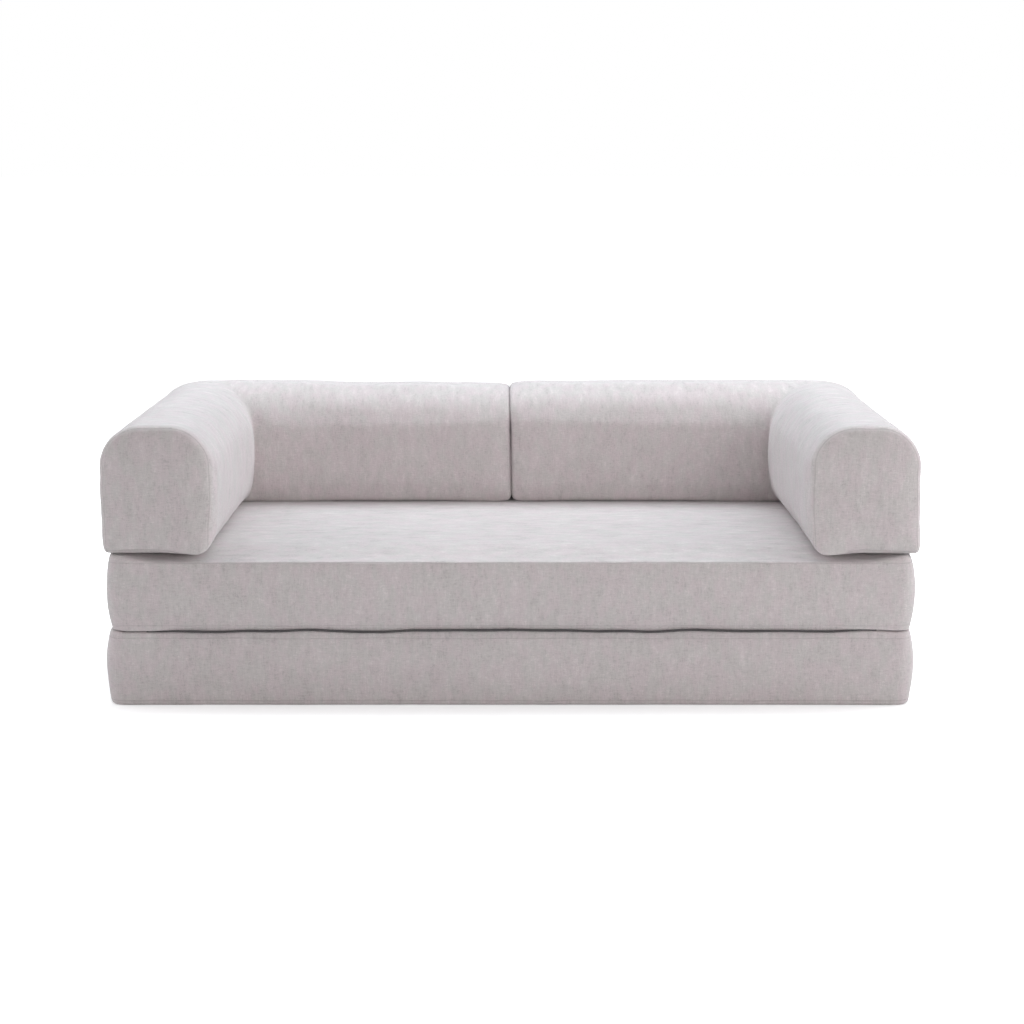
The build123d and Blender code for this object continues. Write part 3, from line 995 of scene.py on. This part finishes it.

# %% [markdown]
# ## Fastenings and the underside
# The small parts keep the imported shapes. The webbing and the zip tape are tight ribbed weaves, the zip's teeth are
# moulded in a row, and its slider is a cast metal with cloudy patches and fine scuffs. The hook strips are covered in
# stiff little hooks, the loop strips in a fuzzy pile, and the panel under the base has rows of rubber dots that grip
# the floor.

# %% Woven tapes
def ribbed(name, ground, light, rib_scale, roughness):
    """A tight weave with ribs across x."""
    material, tree, shader, place = new_material(name)
    spot = place.outputs["Object"]
    rib = math_node(tree, "SINE", math_node(tree, "MULTIPLY", split(tree, spot)[0], rib_scale))
    rib = math_node(tree, "MULTIPLY_ADD", rib, 0.5, 0.5)
    fine = noise_node(tree, spot, 900, 2.0)
    worn = noise_node(tree, spot, 24, 3.0)
    shade = added(tree, (rib, 0.6), (fine, 0.8), (worn, 0.6))
    tree.links.new(mix_colours(tree, level_node(tree, shade, 0.1, 0.9), ground, light), shader.inputs["Base Color"])
    shader.inputs["Roughness"].default_value = roughness
    shader.inputs["Sheen Weight"].default_value = 0.1
    raise_surface(tree, shader, shade, 0.6, 0.0006)
    return material


# The webbing's near-black colour is painted shade: it makes the gap between the mattresses look dark.
gap_shade_webbing = ribbed("hinge_webbing_painted_gap_shade", (0.040, 0.037, 0.038), (0.095, 0.089, 0.091), 3500, 0.8)
zip_tape = ribbed("zip_tape", (0.36, 0.33, 0.33), (0.52, 0.48, 0.485), 5200, 0.75)
for strip in hinge_strips:
    strip.data.materials.append(gap_shade_webbing)
    print(strip.name, "gets", gap_shade_webbing.name)


# %% Teeth, metal, hooks, loops and the underside
def dotted(name, ground, raised, spacing, size, rise, roughness):
    """A cloth with even rows of round dots, seen along z."""
    material, tree, shader, place = new_material(name)
    spot = place.outputs["Object"]
    waves = [
        math_node(tree, "COSINE", math_node(tree, "MULTIPLY", part, 2 * math.pi / spacing))
        for part in split(tree, spot)[:2]
    ]
    dots = level_node(tree, math_node(tree, "ADD", *waves), size, size + 0.35)
    fine = noise_node(tree, spot, 1400, 2.0)
    patch = noise_node(tree, spot, 30, 2.0)
    cloth = mix_colours(tree, added(tree, (fine, 0.9), (patch, 0.7)), tuple(value * 0.75 for value in ground), ground)
    tree.links.new(mix_colours(tree, dots, cloth, raised), shader.inputs["Base Color"])
    shader.inputs["Roughness"].default_value = roughness
    raise_surface(tree, shader, added(tree, (dots, 1.4), (fine, 0.35)), 0.7, rise)
    return material


TOOTH_SPACING = 0.0025


def toothed(name):
    """Moulded teeth in a row along x, with near-black stripes between them that are painted shade."""
    material, tree, shader, place = new_material(name)
    spot = place.outputs["Object"]
    teeth_and_shaded_gaps = math_node(tree, "SINE", math_node(tree, "MULTIPLY", split(tree, spot)[0], 2 * math.pi / TOOTH_SPACING))
    teeth_and_shaded_gaps = level_node(tree, teeth_and_shaded_gaps, -0.4, 0.5)
    fine = noise_node(tree, spot, 700, 2.0)
    # The near-black between the teeth is painted shade in the gaps; the teeth themselves are a mid grey.
    colour = mix_colours(tree, teeth_and_shaded_gaps, (0.12, 0.11, 0.11), (0.50, 0.47, 0.475))
    colour = mix_colours(tree, math_node(tree, "MULTIPLY", fine, 0.25), colour, (0.3, 0.28, 0.28))
    tree.links.new(colour, shader.inputs["Base Color"])
    shader.inputs["Roughness"].default_value = 0.45
    raise_surface(tree, shader, teeth_and_shaded_gaps, 0.8, 0.0008)
    return material


def cast_metal(name):
    """A dull metal with cloudy patches and fine scuffs."""
    material, tree, shader, place = new_material(name)
    spot = place.outputs["Object"]
    scuffs = noise_node(tree, stretched(tree, spot, (900, 120, 900)), 1.0, 3.0)
    cloudy = noise_node(tree, spot, 260, 2.0)
    tree.links.new(mix_colours(tree, cloudy, (0.30, 0.295, 0.29), (0.46, 0.455, 0.45)), shader.inputs["Base Color"])
    tree.links.new(level_node(tree, scuffs, 0.3, 0.7, 0.24, 0.46), shader.inputs["Roughness"])
    shader.inputs["Metallic"].default_value = 1
    raise_surface(tree, shader, scuffs, 0.12, 0.0002)
    return material


finishes = {
    "zip_tape": zip_tape,
    "zip_teeth": toothed("zip_teeth"),
    "zip_slider": cast_metal("zip_metal"),
    "hook_strips": dotted("hook_tape", (0.17, 0.16, 0.16), (0.28, 0.27, 0.27), 0.0022, 0.3, 0.0008, 0.6),
    "loop_strips": dotted("loop_tape", (0.24, 0.225, 0.23), (0.33, 0.31, 0.315), 0.0034, -0.3, 0.0010, 0.95),
    "underside": dotted("non_slip", (0.10, 0.095, 0.095), (0.025, 0.025, 0.027), 0.009, 0.55, 0.0010, 0.7),
}
finishes["zip_pull"] = finishes["zip_slider"]
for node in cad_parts:
    for ending, finish in finishes.items():
        if node.endswith(ending):
            for material_slot in bpy.data.objects[node].material_slots:
                material_slot.material = finish
            print(node, "gets", finish.name)

# %% [markdown]
# ## Floor and light
# A studio floor that fades to white away from the object. The floor sends white light to the camera, to mirrors and
# through glass, and is a plain pale floor for everything else, so the soft shadow stays. A wide lamp hangs above and
# a little behind, which makes the upper faces pale and leaves the fronts in a softer light. One more stands in front,
# a little to the right, and one stands at each side. The room adds a faint even light.

# %% Floor
SHADOW_REACH = 0.30
NEAR_GLOW = 0.42


def seen_directly(tree):
    """1 for the camera, for mirrors and through glass, and 0 for the light that surfaces send each other."""
    path = tree.nodes.new("ShaderNodeLightPath")
    seen = math_node(tree, "MAXIMUM", path.outputs["Is Camera Ray"], path.outputs["Is Glossy Ray"])
    return math_node(tree, "MAXIMUM", seen, path.outputs["Is Transmission Ray"])


floor_mesh = bpy.data.meshes.new("floor")
bm = bmesh.new()
bmesh.ops.create_grid(bm, x_segments=1, y_segments=1, size=60)
bm.to_mesh(floor_mesh)
bm.free()
floor = bpy.data.objects.new("floor", floor_mesh)
scene.collection.objects.link(floor)
floor_material = bpy.data.materials.new("floor")
floor_material.use_nodes = True
tree = floor_material.node_tree
plain = tree.nodes["Principled BSDF"]
plain.inputs["Base Color"].default_value = (0.8, 0.8, 0.8, 1)
plain.inputs["Roughness"].default_value = 1
plain.inputs["Specular IOR Level"].default_value = 0
glow = tree.nodes.new("ShaderNodeEmission")
glow.inputs["Color"].default_value = (1, 1, 1, 1)
place = tree.nodes.new("ShaderNodeTexCoord").outputs["Object"]
beside_x, beside_y = (
    math_node(tree, "MAXIMUM", math_node(tree, "SUBTRACT", math_node(tree, "ABSOLUTE", part), half), 0.0)
    for part, half in zip(split(tree, place), (HALF_WIDTH, HALF_DEPTH))
)
squared = math_node(tree, "MULTIPLY", beside_y, beside_y)
away = math_node(tree, "SQRT", math_node(tree, "MULTIPLY_ADD", beside_x, beside_x, squared))
fading = level_node(tree, away, 0.0, SHADOW_REACH, NEAR_GLOW, 1.0)
tree.links.new(math_node(tree, "MULTIPLY", seen_directly(tree), fading), glow.inputs["Strength"])
both = tree.nodes.new("ShaderNodeAddShader")
tree.links.new(plain.outputs["BSDF"], both.inputs[0])
tree.links.new(glow.outputs["Emission"], both.inputs[1])
tree.links.new(both.outputs["Shader"], tree.nodes["Material Output"].inputs["Surface"])
floor.data.materials.append(floor_material)
print("the floor is white from", SHADOW_REACH, "m away")

# %% Room
world = bpy.data.worlds.new("room")
world.use_nodes = True
scene.world = world
tree = world.node_tree
room = tree.nodes["Background"]
room.inputs["Color"].default_value = (0.97, 0.98, 1.0, 1)
room.inputs["Strength"].default_value = 0.14
white = tree.nodes.new("ShaderNodeBackground")
white.inputs["Color"].default_value = (1, 1, 1, 1)
white.inputs["Strength"].default_value = 1
choose = tree.nodes.new("ShaderNodeMixShader")
tree.links.new(seen_directly(tree), choose.inputs["Fac"])
tree.links.new(room.outputs["Background"], choose.inputs[1])
tree.links.new(white.outputs["Background"], choose.inputs[2])
tree.links.new(choose.outputs["Shader"], tree.nodes["World Output"].inputs["Surface"])
print("the room's light has a strength of", room.inputs["Strength"].default_value)


# %% Lamps
def softbox(name, place, aim, size, power, colour):
    light = bpy.data.lights.new(name, "AREA")
    light.shape = "RECTANGLE"
    light.size, light.size_y = size
    light.energy = power
    light.color = colour
    lamp = bpy.data.objects.new(name, light)
    lamp.location = place
    lamp.rotation_euler = (Vector(aim) - Vector(place)).to_track_quat("-Z", "Y").to_euler()
    scene.collection.objects.link(lamp)
    print(name, "lamp of", power, "W")


softbox("above", (0.1, 0.75, 3.1), (0, 0, 0.3), (6.5, 1.5), 121, (0.87, 0.96, 1.0))
softbox("front", (1.4, -5.4, 1.6), (0, 0, 0.3), (3.6, 2.4), 100, (1.0, 0.98, 0.975))
softbox("right", (4.2, -0.3, 2.4), (0, 0, 0.4), (3.0, 2.5), 93, (1.0, 0.98, 1.0))
softbox("left", (-4.2, -0.3, 2.4), (0, 0, 0.4), (3.0, 2.5), 76, (1.0, 0.98, 1.0))
